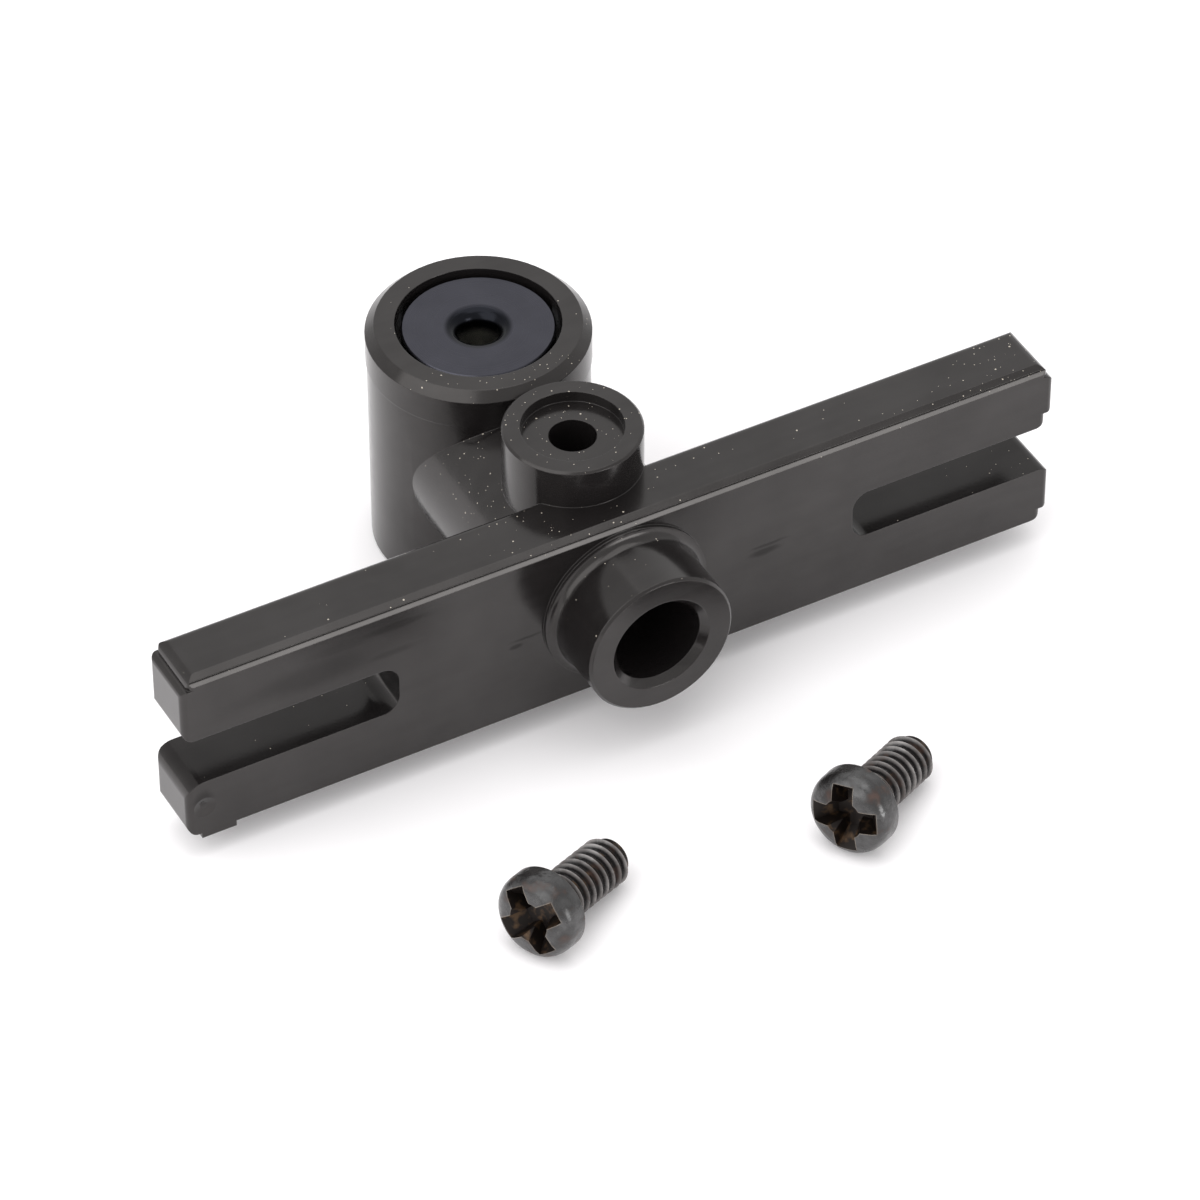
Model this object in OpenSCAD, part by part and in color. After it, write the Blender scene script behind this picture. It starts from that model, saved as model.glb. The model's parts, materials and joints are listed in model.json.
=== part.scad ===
// Rotor hub of a small model helicopter, with the spindle that turns in its cup
// and the two loose M2 screws that go with it. Millimetres, +Z up.
// The origin lies on the shaft bore's axis in the plane of the crossbar's front face,
// +X to the right along the bar and +Y to the back.

/* [Crossbar] */
// Length of the crossbar over its jaws, along X
bar_length = 36.1; // [30:0.1:44]
// Depth of the crossbar from front to back
bar_depth = 2.6; // [2.2:0.05:4]
// Height of the crossbar
bar_height = 7.6; // [7:0.05:9]
// How far the crossbar's middle lies to the right of the shaft's axis
bar_shift = 0.2; // [0:0.05:0.4]
// Radius of the crossbar's upper back edge
bar_edge_r = 0.32; // [0.1:0.02:0.6]
// Width and height of the bevel along the crossbar's upper front edge
bar_bevel = 0.36; // [0.3:0.02:0.6]
// Distance of the parting groove in that bevel below the crossbar's top
parting_drop = 0.17; // [0.14:0.01:0.2]
// Depth of the parting groove
parting_depth = 0.06; // [0.02:0.01:0.1]
// Depth of each fork's slot from the end of the bar
slot_length = 8.45; // [5:0.05:10]
// Gap between the two jaws of a fork
slot_gap = 2.16; // [1.6:0.02:2.6]
// How far the slot's middle lies below the bar's middle
slot_drop = 0.22; // [0:0.02:0.4]
// Radius in the inner corners of a slot
slot_corner_r = 0.7; // [0.2:0.05:0.75]
// Radius of the corners at the tips of the jaws
jaw_corner_r = 0.45; // [0.2:0.05:0.7]
// How far the moulded lip stands out from the tip of a jaw
lip_proud = 0.28; // [0.1:0.02:0.4]
// Height of the lip on a jaw at the right end
lip_height = 1.8; // [0.8:0.05:2]
// Radius of a lip's lower corners and of the crossbar's upright edges
lip_r = 0.26; // [0.1:0.02:0.3]
// How far the lips lie below the crossbar's top or the slot's floor
lip_drop = 0.5; // [0.3:0.05:0.6]
// Radius of the lower left jaw's upper corner
soft_corner_r = 0.7; // [0.4:0.05:0.8]
// Length of the gate stub under the lower left jaw
gate_length = 1.4; // [0.6:0.1:2]
// Height of the gate stub below the crossbar
gate_height = 0.24; // [0.1:0.02:0.4]
// Diameter of the dimple in the lower left jaw's front
dimple_d = 0.9; // [0.4:0.05:1]

/* [Shaft sleeve] */
// Outer diameter of the sleeve
sleeve_od = 6.0; // [5.2:0.05:6.6]
// Length of the sleeve in front of the crossbar
sleeve_length = 2.84; // [2:0.02:5]
// How far the collar at the sleeve's root stands out from the sleeve
collar_step = 0.4; // [0.1:0.02:0.4]
// Length of that collar
collar_length = 0.55; // [0.4:0.05:1]
// Bevel round the sleeve's front edge
sleeve_bevel = 0.1; // [0.04:0.02:0.2]
// Diameter of the shaft bore
shaft_bore_d = 3.5; // [2.5:0.05:4]
// Chamfer at the mouth of the shaft bore
bore_chamfer = 0.28; // [0.1:0.02:0.5]
// Wall between the end of the shaft bore and the cup's mouth
bore_end_wall = 1.0; // [0.6:0.05:2]

/* [Clamp boss] */
// Outer diameter of the boss for the clamp screw
boss_od = 5.3; // [4.8:0.05:6]
// Height of the boss above the crossbar
boss_height = 1.68; // [1:0.02:2.5]
// Distance of the boss's axis behind the crossbar's back face
boss_setback = 1.35; // [0.8:0.05:2.2]
// Depth of the seat for the screw's head
seat_depth = 0.46; // [0.2:0.02:0.8]
// Clearance all round the screw's head in its seat
seat_play = 0.3; // [0.1:0.01:0.4]
// Diameter of the clamp screw's hole
clamp_hole_d = 1.8; // [1.6:0.02:1.9]
// Bevel round the boss's upper edge
boss_bevel = 0.08; // [0.04:0.02:0.14]

/* [Neck] */
// Diameter of the round neck between crossbar and cup
neck_d = 7.1; // [6.4:0.05:7.4]
// How much wider than high the neck is
neck_spread = 0.6; // [0.2:0.05:0.8]
// Distance of the cup's axis behind the crossbar's back face
cup_setback = 8.75; // [8:0.05:12]

/* [Cup] */
// Outer diameter of the cup
cup_od = 8.6; // [8.2:0.02:10]
// Height of the cup
cup_height = 10.1; // [9.8:0.05:12]
// Chamfer round the top of the cup
cup_chamfer = 0.36; // [0.1:0.02:0.5]
// Height of the band round the top of the cup
cup_band_height = 1.6; // [1:0.1:3]
// How far that band stands out from the rest of the cup
cup_band_step = 0.05; // [0.02:0.01:0.1]
// Inner diameter of the shoulder between the two bearings
shoulder_d = 5.3; // [4.8:0.05:5.6]
// Width of that shoulder
shoulder_w = 1.5; // [1:0.05:1.8]
// Gap all round the spindle's head in the cup's mouth
mouth_gap = 0.24; // [0.15:0.01:0.4]

/* [Spindle] */
// Diameter of the spindle's head
head_d = 5.86; // [5.2:0.02:6.2]
// Thickness of the spindle's head
head_t = 1.2; // [0.8:0.05:1.4]
// How far the head lies below the cup's rim
head_recess = 0.2; // [0.05:0.01:0.4]
// Chamfer of the head's edge
head_chamfer = 0.06; // [0.02:0.01:0.2]
// Core diameter of the tapped hole in the spindle
tap_core_d = 1.5; // [1.4:0.02:1.7]
// Depth of the tapped hole
tap_depth = 5; // [3:0.1:6]
// Diameter at which the tapped hole's rounded mouth begins
tap_mouth_d = 2.6; // [2:0.05:3]
// Length of the spindle below the retaining clip
tail_length = 0.7; // [0.4:0.05:0.9]

/* [Bearings] */
// Outer diameter of a bearing
bearing_od = 6.0; // [5.9:0.02:6.2]
// Bore of a bearing
bearing_id = 3.0; // [2.9:0.02:3.1]
// Width of a bearing
bearing_w = 2.5; // [2.3:0.05:2.6]
// Diameter of the balls
ball_d = 0.8; // [0.7:0.02:0.82]
// Number of balls in a bearing
ball_count = 8; // [6:1:9]
// Radial thickness of a bearing ring at its shoulder
ring_t = 0.5; // [0.46:0.01:0.52]
// Height of the ball cage
cage_h = 1.1; // [1:0.05:1.3]
// Radial thickness of the ball cage
cage_t = 0.28; // [0.2:0.01:0.3]
// Thickness of a bearing shield
shield_t = 0.12; // [0.08:0.01:0.2]
// How far a shield lies inside the bearing's face
shield_inset = 0.1; // [0.05:0.01:0.15]
// How far a shield's rim reaches into the outer ring
shield_seat = 0.12; // [0.08:0.01:0.16]

/* [Shims and clip] */
// Thickness of the two shim washers
shim_t = 0.2; // [0.1:0.01:0.25]
// Diameter of the groove for the retaining clip
clip_groove_d = 2.3; // [2.1:0.02:2.5]
// Thickness of the retaining clip
clip_t = 0.38; // [0.3:0.01:0.45]
// Outer diameter of the retaining clip
clip_od = 5.0; // [4.4:0.05:5.4]

/* [Screws] */
// Thread diameter of the two loose screws
screw_d = 1.97; // [1.9:0.01:2.1]
// Length of the screws under the head
screw_length = 4.1; // [3:0.1:6]
// Diameter of the screws' heads
screw_head_d = 3.3; // [3:0.02:3.8]
// Height of the screws' heads
screw_head_h = 1.3; // [1:0.02:1.6]
// Where the clamp screw lies: its head's middle, along X
clamp_screw_x = -9.67; // [-14:0.01:-6]
// Where the clamp screw lies: its head's middle, in front of the crossbar
clamp_screw_front = 10.32; // [7:0.01:14]
// Direction in which the clamp screw points
clamp_screw_turn = 26; // [0:0.1:45]
// Where the spindle screw lies: its head's middle, along X
spindle_screw_x = 2.88; // [0:0.01:8]
// Where the spindle screw lies: its head's middle, in front of the crossbar
spindle_screw_front = 11.2; // [7:0.01:14]
// Direction in which the spindle screw points
spindle_screw_turn = 28.6; // [0:0.1:45]

/* [Fits] */
// Radial clearance of a ring, washer or journal in its seat
fit_play = 0.01; // [0.005:0.005:0.03]
// Clearance between the balls and what holds them
ball_play = 0.03; // [0.01:0.005:0.04]
// Running clearance between the shields and the inner ring
shield_play = 0.06; // [0.03:0.01:0.08]
// Axial clearance of the clip in its groove
clip_play = 0.02; // [0.01:0.01:0.05]

/* [Hidden] */
$fn = 64;

// Overlap that keeps cuts and joins clean
eps = 0.05;

// Places along Y
boss_y = bar_depth + boss_setback;
cup_y = bar_depth + cup_setback;
mouth_d = head_d + 2 * mouth_gap;
bore_end_y = cup_y - mouth_d / 2 - bore_end_wall;

// Places along X and Z on the crossbar
half_length = bar_length / 2;
half_height = bar_height / 2;
slot_inner_x = half_length - slot_length;
slot_top_z = slot_gap / 2 - slot_drop;
slot_bottom_z = -slot_gap / 2 - slot_drop;
lip_x = half_length + lip_proud;
upper_lip_top_z = half_height - lip_drop;
lower_lip_bottom_z = -half_height + lip_drop;
boss_top_z = half_height + boss_height;
seat_d = screw_head_d + 2 * seat_play;

// Places along the cup's axis, from the rim down
rim_z = cup_height / 2;
floor_z = -cup_height / 2;
head_top_z = rim_z - head_recess;
head_bottom_z = head_top_z - head_t;
upper_bearing_top_z = head_bottom_z - shim_t;
upper_bearing_z = upper_bearing_top_z - bearing_w / 2;
shoulder_top_z = upper_bearing_top_z - bearing_w;
shoulder_bottom_z = shoulder_top_z - shoulder_w;
lower_bearing_z = shoulder_bottom_z - bearing_w / 2;
lower_bearing_bottom_z = shoulder_bottom_z - bearing_w;
clip_top_z = lower_bearing_bottom_z - shim_t;
groove_bottom_z = clip_top_z - clip_t - clip_play;
tail_z = groove_bottom_z - tail_length;
bearing_seat_d = bearing_od + 2 * fit_play;
journal_d = bearing_id - 2 * fit_play;

tap_mouth_r = (tap_mouth_d - tap_core_d) / 2;

// Radii inside a bearing
pitch_r = (bearing_od + bearing_id) / 4;
race_r = ball_d / 2 + ball_play;
inner_shoulder_r = bearing_id / 2 + ring_t;
outer_shoulder_r = bearing_od / 2 - ring_t;
shield_in_r = inner_shoulder_r + shield_play;
shield_out_r = outer_shoulder_r + shield_seat;
shield_depth = shield_inset + shield_t;
pocket_r = ball_d / 2 + ball_play;

// Radius of the dome over a screw's head, so that the dome ends halfway down the head
dome_h = screw_head_h / 2;
dome_r = (pow(screw_head_d / 2, 2) + pow(dome_h, 2)) / (2 * dome_h);

// Small edge breaks and the like
screw_tip_chamfer = 0.15;
base_lead = 0.15;
base_chamfer = 0.14;
parting_y = 0.09;
parting_half_w = 0.03;
gate_depth = 0.8;
gate_end_gap = 0.25;
dimple_end_gap = 0.42;
dimple_depth = 0.1;

// The clip's open side, and where its two lobes lie
clip_mouth_w = 0.8 * clip_groove_d;
lobe_d = clip_mouth_w / 2;
lobe_r = journal_d / 2 + 2 * fit_play;
lobe_turn = 60;

// Colours as the photograph shows them
nylon = "#302e2e";
blackened_steel = "#4a4a52";
bright_steel = "#b8bcc2";
brass_cage = "#b8964e";
black_oxide = "#3a3634";

// A rectangle from one corner to the other with four rounded corners
module rounded_rect(x0, y0, x1, y1, r) {
    translate([x0 + r, y0]) square([x1 - x0 - 2 * r, y1 - y0]);
    translate([x0, y0 + r]) square([x1 - x0, y1 - y0 - 2 * r]);
    for (x = [x0 + r, x1 - r], y = [y0 + r, y1 - r])
        translate([x, y]) circle(r);
}

// A round bar along +Y from y0 to y1 on the shaft's axis
module along_y(d, y0, y1) {
    translate([0, y0, 0]) rotate([-90, 0, 0]) cylinder(d = d, h = y1 - y0);
}

// A plain ring round the cup's axis, from its own z0 up to z1
module ring(od, id, z0, z1) {
    translate([0, cup_y, z0])
        difference() {
            cylinder(d = od, h = z1 - z0);
            translate([0, 0, -eps]) cylinder(d = id, h = z1 - z0 + 2 * eps);
        }
}

// A jaw towards +X from z0 up to z1, with the corners at its tip rounded
module jaw(z0, z1, tip_x, top_r, bottom_r) {
    start_x = slot_inner_x - eps;
    translate([start_x, z1 - top_r]) square([tip_x - top_r - start_x, top_r]);
    translate([start_x, z0]) square([tip_x - bottom_r - start_x, bottom_r]);
    translate([start_x, z0 + bottom_r]) square([tip_x - start_x, z1 - z0 - top_r - bottom_r]);
    translate([tip_x - top_r, z1 - top_r]) circle(top_r);
    translate([tip_x - bottom_r, z0 + bottom_r]) circle(bottom_r);
}

// Front outline of half the crossbar up to the inner end of its slot, at +X
module half_bar_root() {
    translate([-eps, -half_height]) square([slot_inner_x + eps, bar_height]);
    difference() {
        translate([slot_inner_x - eps, slot_bottom_z - eps])
            square([slot_corner_r + eps, slot_gap + 2 * eps]);
        rounded_rect(slot_inner_x, slot_bottom_z, half_length + slot_corner_r, slot_top_z, slot_corner_r);
    }
}

// Half of the crossbar's front outline without the lips, at +X
module half_bar_outline() {
    half_bar_root();
    jaw(slot_top_z, half_height, half_length, jaw_corner_r, jaw_corner_r);
    jaw(-half_height, slot_bottom_z, half_length, jaw_corner_r, jaw_corner_r);
}

// The lips at the right end cross part of the jaws' tips
module right_lip_outline() {
    jaw(upper_lip_top_z - lip_height, upper_lip_top_z, lip_x, jaw_corner_r, lip_r);
    jaw(lower_lip_bottom_z, slot_bottom_z, lip_x, jaw_corner_r, lip_r);
}

// The lips at the left end, drawn towards +X, run over the jaws' lower corners
module left_lip_outline() {
    jaw(slot_top_z, upper_lip_top_z, lip_x, lip_r, jaw_corner_r);
    jaw(-half_height, slot_bottom_z, lip_x, soft_corner_r, jaw_corner_r);
    translate([half_length - gate_end_gap - gate_length, -half_height - gate_height])
        square([gate_length, gate_height + eps]);
}

// End outline of the crossbar: a rounded back edge, and a bevel with a groove along the front edge
module bar_end_outline() {
    difference() {
        union() {
            translate([0, -half_height - gate_height])
                square([bar_depth, bar_height + gate_height - bar_edge_r]);
            translate([0, half_height - bar_edge_r - eps]) square([bar_depth - bar_edge_r, bar_edge_r + eps]);
            translate([bar_depth - bar_edge_r, half_height - bar_edge_r]) circle(bar_edge_r);
        }
        translate([0, half_height])
            polygon([
                [-eps, -bar_bevel],
                [0, -bar_bevel],
                [parting_y, -parting_drop - parting_half_w],
                [parting_y + parting_depth, -parting_drop],
                [parting_y, -parting_drop + parting_half_w],
                [bar_bevel, 0],
                [bar_bevel, eps],
                [-eps, eps]
            ]);
        translate([gate_depth, -half_height - gate_height - eps]) square([bar_depth, gate_height + eps]);
    }
}

// Part of the crossbar, out to reach on both sides: its outlines from the front, which follows
// as a child, from the end and from above cut one another
module bar_piece(reach) {
    intersection() {
        translate([0, bar_depth, 0]) rotate([90, 0, 0]) linear_extrude(bar_depth) children();
        translate([-bar_length, 0, 0]) rotate([90, 0, 90])
            linear_extrude(2 * bar_length) bar_end_outline();
        translate([0, 0, -bar_height])
            linear_extrude(2 * bar_height) rounded_rect(-reach, 0, reach, bar_depth, lip_r);
    }
}

// The crossbar with its lips, gate stub and dimple
module crossbar() {
    difference() {
        union() {
            bar_piece(half_length) {
                half_bar_outline();
                mirror([1, 0]) half_bar_outline();
            }
            bar_piece(lip_x) {
                right_lip_outline();
                mirror([1, 0]) left_lip_outline();
            }
        }
        translate([dimple_end_gap - half_length, 0, (slot_bottom_z - half_height) / 2])
            rotate([-90, 0, 0]) cylinder(d1 = dimple_d, d2 = dimple_d / 3, h = dimple_depth);
    }
}

// Half section of the sleeve: a collar with a hollow fillet at its root, a bevel at its front
module sleeve_outline() {
    sleeve_r = sleeve_od / 2;
    collar_r = sleeve_r + collar_step;
    polygon([
        [0, -eps],
        [sleeve_r, -eps],
        [sleeve_r, sleeve_length - sleeve_bevel],
        [sleeve_r - sleeve_bevel, sleeve_length],
        [0, sleeve_length]
    ]);
    difference() {
        translate([0, -eps]) square([collar_r, collar_length + eps]);
        translate([collar_r, collar_length]) circle(collar_step);
    }
}

// The chamfer at the mouth of the shaft bore
module bore_mouth() {
    translate([0, -sleeve_length, 0]) rotate([-90, 0, 0])
        cylinder(d1 = shaft_bore_d + 2 * bore_chamfer, d2 = shaft_bore_d, h = bore_chamfer);
}

// The sleeve in front of the crossbar
module sleeve_body() {
    rotate([90, 0, 0]) rotate_extrude() sleeve_outline();
}

// The boss above the crossbar, with a fine bevel round its top
module boss_body() {
    translate([0, boss_y, 0]) {
        cylinder(d = boss_od, h = boss_top_z - boss_bevel);
        translate([0, 0, boss_top_z - boss_bevel])
            cylinder(d1 = boss_od, d2 = boss_od - 2 * boss_bevel, h = boss_bevel);
    }
}

// The neck between crossbar and cup, a little wider than high
module neck_body() {
    for (x = [-neck_spread / 2, neck_spread / 2])
        translate([x, 0, 0]) along_y(neck_d, bar_depth - eps, cup_y);
    translate([-neck_spread / 2, bar_depth - eps, -neck_d / 2])
        cube([neck_spread, cup_setback + eps, neck_d]);
}

// The cup's outside, with a band round its top
module cup_body() {
    cup_r = cup_od / 2;
    translate([0, cup_y, 0])
        rotate_extrude()
            polygon([
                [0, floor_z],
                [cup_r - cup_band_step - base_chamfer, floor_z],
                [cup_r - cup_band_step, floor_z + base_chamfer],
                [cup_r - cup_band_step, rim_z - cup_band_height],
                [cup_r, rim_z - cup_band_height + cup_band_step],
                [cup_r, rim_z - cup_chamfer],
                [cup_r - cup_chamfer, rim_z],
                [0, rim_z]
            ]);
}

// Everything that is bored out of the cup
module cup_bores() {
    translate([0, cup_y, 0])
        rotate_extrude()
            polygon([
                [0, rim_z + eps],
                [mouth_d / 2, rim_z + eps],
                [mouth_d / 2, upper_bearing_top_z],
                [bearing_seat_d / 2, upper_bearing_top_z],
                [bearing_seat_d / 2, shoulder_top_z],
                [shoulder_d / 2, shoulder_top_z],
                [shoulder_d / 2, shoulder_bottom_z],
                [bearing_seat_d / 2, shoulder_bottom_z],
                [bearing_seat_d / 2, floor_z + base_lead],
                [bearing_seat_d / 2 + base_lead, floor_z],
                [bearing_seat_d / 2 + base_lead, floor_z - eps],
                [0, floor_z - eps]
            ]);
}

module hub_moulding() {
    color(nylon)
        difference() {
            union() {
                translate([bar_shift, 0, 0]) crossbar();
                sleeve_body();
                neck_body();
                boss_body();
                cup_body();
            }
            along_y(shaft_bore_d, -sleeve_length - eps, bore_end_y);
            bore_mouth();
            translate([0, boss_y, boss_top_z - seat_depth]) cylinder(d = seat_d, h = seat_depth + eps);
            translate([0, boss_y, 0]) cylinder(d = clamp_hole_d, h = boss_top_z);
            cup_bores();
        }
}

// Half section of what is cut away at the tapped hole's rounded mouth
module tap_mouth_outline() {
    difference() {
        square([tap_mouth_d / 2, tap_mouth_r + eps]);
        translate([tap_mouth_d / 2, 0]) circle(tap_mouth_r);
    }
}

module spindle() {
    color(blackened_steel)
        translate([0, cup_y, 0])
            difference() {
                rotate_extrude()
                    polygon([
                        [0, head_top_z],
                        [head_d / 2 - head_chamfer, head_top_z],
                        [head_d / 2, head_top_z - head_chamfer],
                        [head_d / 2, head_bottom_z],
                        [journal_d / 2, head_bottom_z],
                        [journal_d / 2, clip_top_z],
                        [clip_groove_d / 2, clip_top_z],
                        [clip_groove_d / 2, groove_bottom_z],
                        [journal_d / 2, groove_bottom_z],
                        [journal_d / 2, tail_z + head_chamfer],
                        [journal_d / 2 - head_chamfer, tail_z],
                        [0, tail_z]
                    ]);
                translate([0, 0, head_top_z - tap_depth]) cylinder(d = tap_core_d, h = tap_depth + eps);
                rotate_extrude() translate([0, head_top_z - tap_mouth_r]) tap_mouth_outline();
            }
}

module upper_shim() {
    color(bright_steel) ring(2 * inner_shoulder_r, bearing_id, upper_bearing_top_z, head_bottom_z);
}

module bearing_spacer() {
    color(bright_steel) ring(2 * inner_shoulder_r, bearing_id, shoulder_bottom_z, shoulder_top_z);
}

module lower_shim() {
    color(bright_steel) ring(2 * inner_shoulder_r, bearing_id, clip_top_z, lower_bearing_bottom_z);
}

// A flat clip that snaps sideways into the spindle's groove
module retaining_clip() {
    color(bright_steel)
        translate([0, cup_y, clip_top_z - clip_t])
            difference() {
                cylinder(d = clip_od, h = clip_t);
                translate([0, 0, -eps]) cylinder(d = clip_groove_d + 2 * fit_play, h = clip_t + 2 * eps);
                translate([-clip_mouth_w / 2, 0, -eps]) cube([clip_mouth_w, clip_od, clip_t + 2 * eps]);
                for (turn = [-lobe_turn, lobe_turn])
                    rotate(turn) translate([0, -lobe_r, -eps])
                        cylinder(d = lobe_d, h = clip_t + 2 * eps);
            }
}

// Outer ring of a bearing whose middle lies at z, with its race and two shield seats
module outer_ring(z) {
    half_w = bearing_w / 2;
    color(bright_steel)
        translate([0, cup_y, z])
            difference() {
                cylinder(d = bearing_od, h = bearing_w, center = true);
                cylinder(r = outer_shoulder_r, h = bearing_w + 2 * eps, center = true);
                rotate_extrude() translate([pitch_r, 0]) circle(race_r, $fn = 32);
                for (side = [0, 1])
                    mirror([0, 0, side]) translate([0, 0, half_w - shield_depth])
                        cylinder(r = shield_out_r + fit_play, h = shield_depth + eps);
            }
}

// Inner ring of a bearing whose middle lies at z, with its race
module inner_ring(z) {
    color(bright_steel)
        translate([0, cup_y, z])
            difference() {
                cylinder(r = inner_shoulder_r, h = bearing_w, center = true);
                cylinder(d = bearing_id, h = bearing_w + 2 * eps, center = true);
                rotate_extrude() translate([pitch_r, 0]) circle(race_r, $fn = 32);
            }
}

// The balls of a bearing, each in its pocket of the cage
module balls(z) {
    color(bright_steel)
        translate([0, cup_y, z])
            for (i = [0 : ball_count - 1])
                rotate(i * 360 / ball_count) translate([pitch_r, 0, 0]) sphere(d = ball_d, $fn = 32);
}

// The cage that keeps the balls of a bearing apart
module cage(z) {
    color(brass_cage)
        translate([0, cup_y, z])
            difference() {
                cylinder(r = pitch_r + cage_t / 2, h = cage_h, center = true);
                cylinder(r = pitch_r - cage_t / 2, h = cage_h + 2 * eps, center = true);
                for (i = [0 : ball_count - 1])
                    rotate(i * 360 / ball_count) translate([pitch_r - cage_t, 0, 0])
                        rotate([0, 90, 0]) cylinder(r = pocket_r, h = 2 * cage_t, $fn = 32);
            }
}

// A shield of a bearing, pressed into its outer ring; side is 1 above and -1 below
module shield(z, side) {
    middle = z + side * (bearing_w / 2 - shield_inset - shield_t / 2);
    color(bright_steel) ring(2 * shield_out_r, 2 * shield_in_r, middle - shield_t / 2, middle + shield_t / 2);
}

module upper_outer_ring() { outer_ring(upper_bearing_z); }
module upper_inner_ring() { inner_ring(upper_bearing_z); }
module upper_balls() { balls(upper_bearing_z); }
module upper_cage() { cage(upper_bearing_z); }
module upper_top_shield() { shield(upper_bearing_z, 1); }
module upper_bottom_shield() { shield(upper_bearing_z, -1); }
module lower_outer_ring() { outer_ring(lower_bearing_z); }
module lower_inner_ring() { inner_ring(lower_bearing_z); }
module lower_balls() { balls(lower_bearing_z); }
module lower_cage() { cage(lower_bearing_z); }
module lower_top_shield() { shield(lower_bearing_z, 1); }
module lower_bottom_shield() { shield(lower_bearing_z, -1); }

// A pan-head screw along +Z: the top of its head at 0, its tip up at the end
module pan_screw() {
    head_r = screw_head_d / 2;
    shank_r = screw_d / 2;
    end_z = screw_head_h + screw_length;
    color(black_oxide)
        rotate_extrude() {
            intersection() {
                square([head_r, screw_head_h]);
                translate([0, dome_r]) circle(dome_r);
            }
            polygon([
                [0, screw_head_h - eps],
                [shank_r, screw_head_h - eps],
                [shank_r, end_z - screw_tip_chamfer],
                [shank_r - screw_tip_chamfer, end_z],
                [0, end_z]
            ]);
        }
}

// A screw that lies on the floor on the edge of its head and the edge of its tip
module lying_screw(x, front, turn) {
    head_r = screw_head_d / 2;
    shank_r = screw_d / 2;
    lean = atan((head_r - shank_r) / (screw_length - screw_tip_chamfer));
    top_z = floor_z + head_r * cos(lean) + screw_head_h * sin(lean);
    translate([x, -front, top_z]) rotate([0, 90 + lean, turn]) pan_screw();
}

module clamp_screw() { lying_screw(clamp_screw_x, clamp_screw_front, clamp_screw_turn); }
module spindle_screw() { lying_screw(spindle_screw_x, spindle_screw_front, spindle_screw_turn); }

hub_moulding();
spindle();
upper_shim();
bearing_spacer();
lower_shim();
retaining_clip();
upper_outer_ring();
upper_inner_ring();
upper_balls();
upper_cage();
upper_top_shield();
upper_bottom_shield();
lower_outer_ring();
lower_inner_ring();
lower_balls();
lower_cage();
lower_top_shield();
lower_bottom_shield();
clamp_screw();
spindle_screw();
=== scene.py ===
"""Looks of a small model helicopter's rotor hub: a black nylon moulding, the blackened
steel spindle in its cup, and two loose M2 screws in front of it."""

import json
import math

import bpy
from mathutils import Matrix, Vector


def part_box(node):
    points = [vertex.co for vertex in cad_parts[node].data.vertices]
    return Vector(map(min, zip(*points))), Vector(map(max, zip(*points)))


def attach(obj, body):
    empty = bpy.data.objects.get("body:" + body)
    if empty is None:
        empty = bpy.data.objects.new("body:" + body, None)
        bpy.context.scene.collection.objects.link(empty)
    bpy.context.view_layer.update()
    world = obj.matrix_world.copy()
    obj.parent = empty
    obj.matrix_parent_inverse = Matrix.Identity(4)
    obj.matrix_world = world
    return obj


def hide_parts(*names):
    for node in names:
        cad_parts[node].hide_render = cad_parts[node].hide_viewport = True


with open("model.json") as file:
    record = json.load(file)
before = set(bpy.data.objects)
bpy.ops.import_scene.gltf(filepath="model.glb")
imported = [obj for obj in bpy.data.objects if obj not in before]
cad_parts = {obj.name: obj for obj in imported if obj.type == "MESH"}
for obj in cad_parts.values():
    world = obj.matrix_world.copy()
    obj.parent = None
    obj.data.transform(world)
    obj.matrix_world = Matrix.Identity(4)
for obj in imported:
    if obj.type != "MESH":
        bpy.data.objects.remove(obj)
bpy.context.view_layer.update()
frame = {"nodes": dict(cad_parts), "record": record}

# Sizes are in millimetres, and MM turns them to metres
MM = 0.001

# The photograph's camera, fitted to the hub's edges: the place of its lens,
# its direction in degrees, and its focal length on a 36 mm sensor
CAMERA_PLACE = (-89.68, -161.56, 168.26)
CAMERA_AZIMUTH = -28.754
CAMERA_ELEVATION = 42.328
CAMERA_ROLL = -0.133
CAMERA_LENS = 202.46
CAMERA_SENSOR = 36.0

# The studio: strength of the white sky, width of the floor in metres, and the
# softboxes with place, width and watts, which all face one point
SKY_STRENGTH = 0.88
FLOOR_WIDTH = 3.0
SOFTBOXES = [
    ("left_softbox", (-180, -30, 140), 260, 0.32),
    ("top_softbox", (20, 40, 330), 300, 0.4),
    ("back_softbox", (122, 211, 221), 300, 0.065),
    ("front_softbox", (108, -276, 65), 120, 0.21),
]
LIGHT_TARGET = (0, 6, 0)

# In metres: the table top on which the hub stands, and the top of the spindle
FLOOR_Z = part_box("hub_moulding")[0][2]
SPINDLE_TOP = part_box("spindle")[1][2]

# The spindle's axis, along Z
CUP_AXIS_Y = 11.35
# Radii between which the painted shade in the spindle's tapped mouth fades out
MOUTH_R = (1.12, 1.36)
# The tap below it, and the depths between which its wall changes from a painted light to black
TAP_R = 0.8
TAP_LIT_DEPTHS = (0.95, 0.6)
# Spacing of the lathe tool's rings, coarser than the real one so that they show
RING_SPACING = 0.07

# Where dust gathers, round the boss and at the tip of the right fork
DUST_MIDDLES = ((-0.8, 5.0, 3.0), (19.5, -1.0, 3.0))
# Distances from there between which it thins out, and the shares of empty cells at each
DUST_REACH = (2.4, 7.0)
DUST_SPARE = (0.3, 0.93)
# Width of a cell for coarse and for fine dust, and a speck's least and largest radius in cells
DUST_CELLS = (0.29, 0.19)
DUST_SIZE = (0.04, 0.14)
# Holes that stay free of dust: the shaft bore along Y, the clamp hole along Z
BORE_R = 1.8
CLAMP_HOLE_Y = 3.95
CLAMP_HOLE_R = 0.92

# Heights between which the floor of each slot lies, and how much duller they are made, as painted
# shade
SLOT_FLOOR_Z = (-1.6, -0.9)
SLOT_SHADE = 0.42
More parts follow.
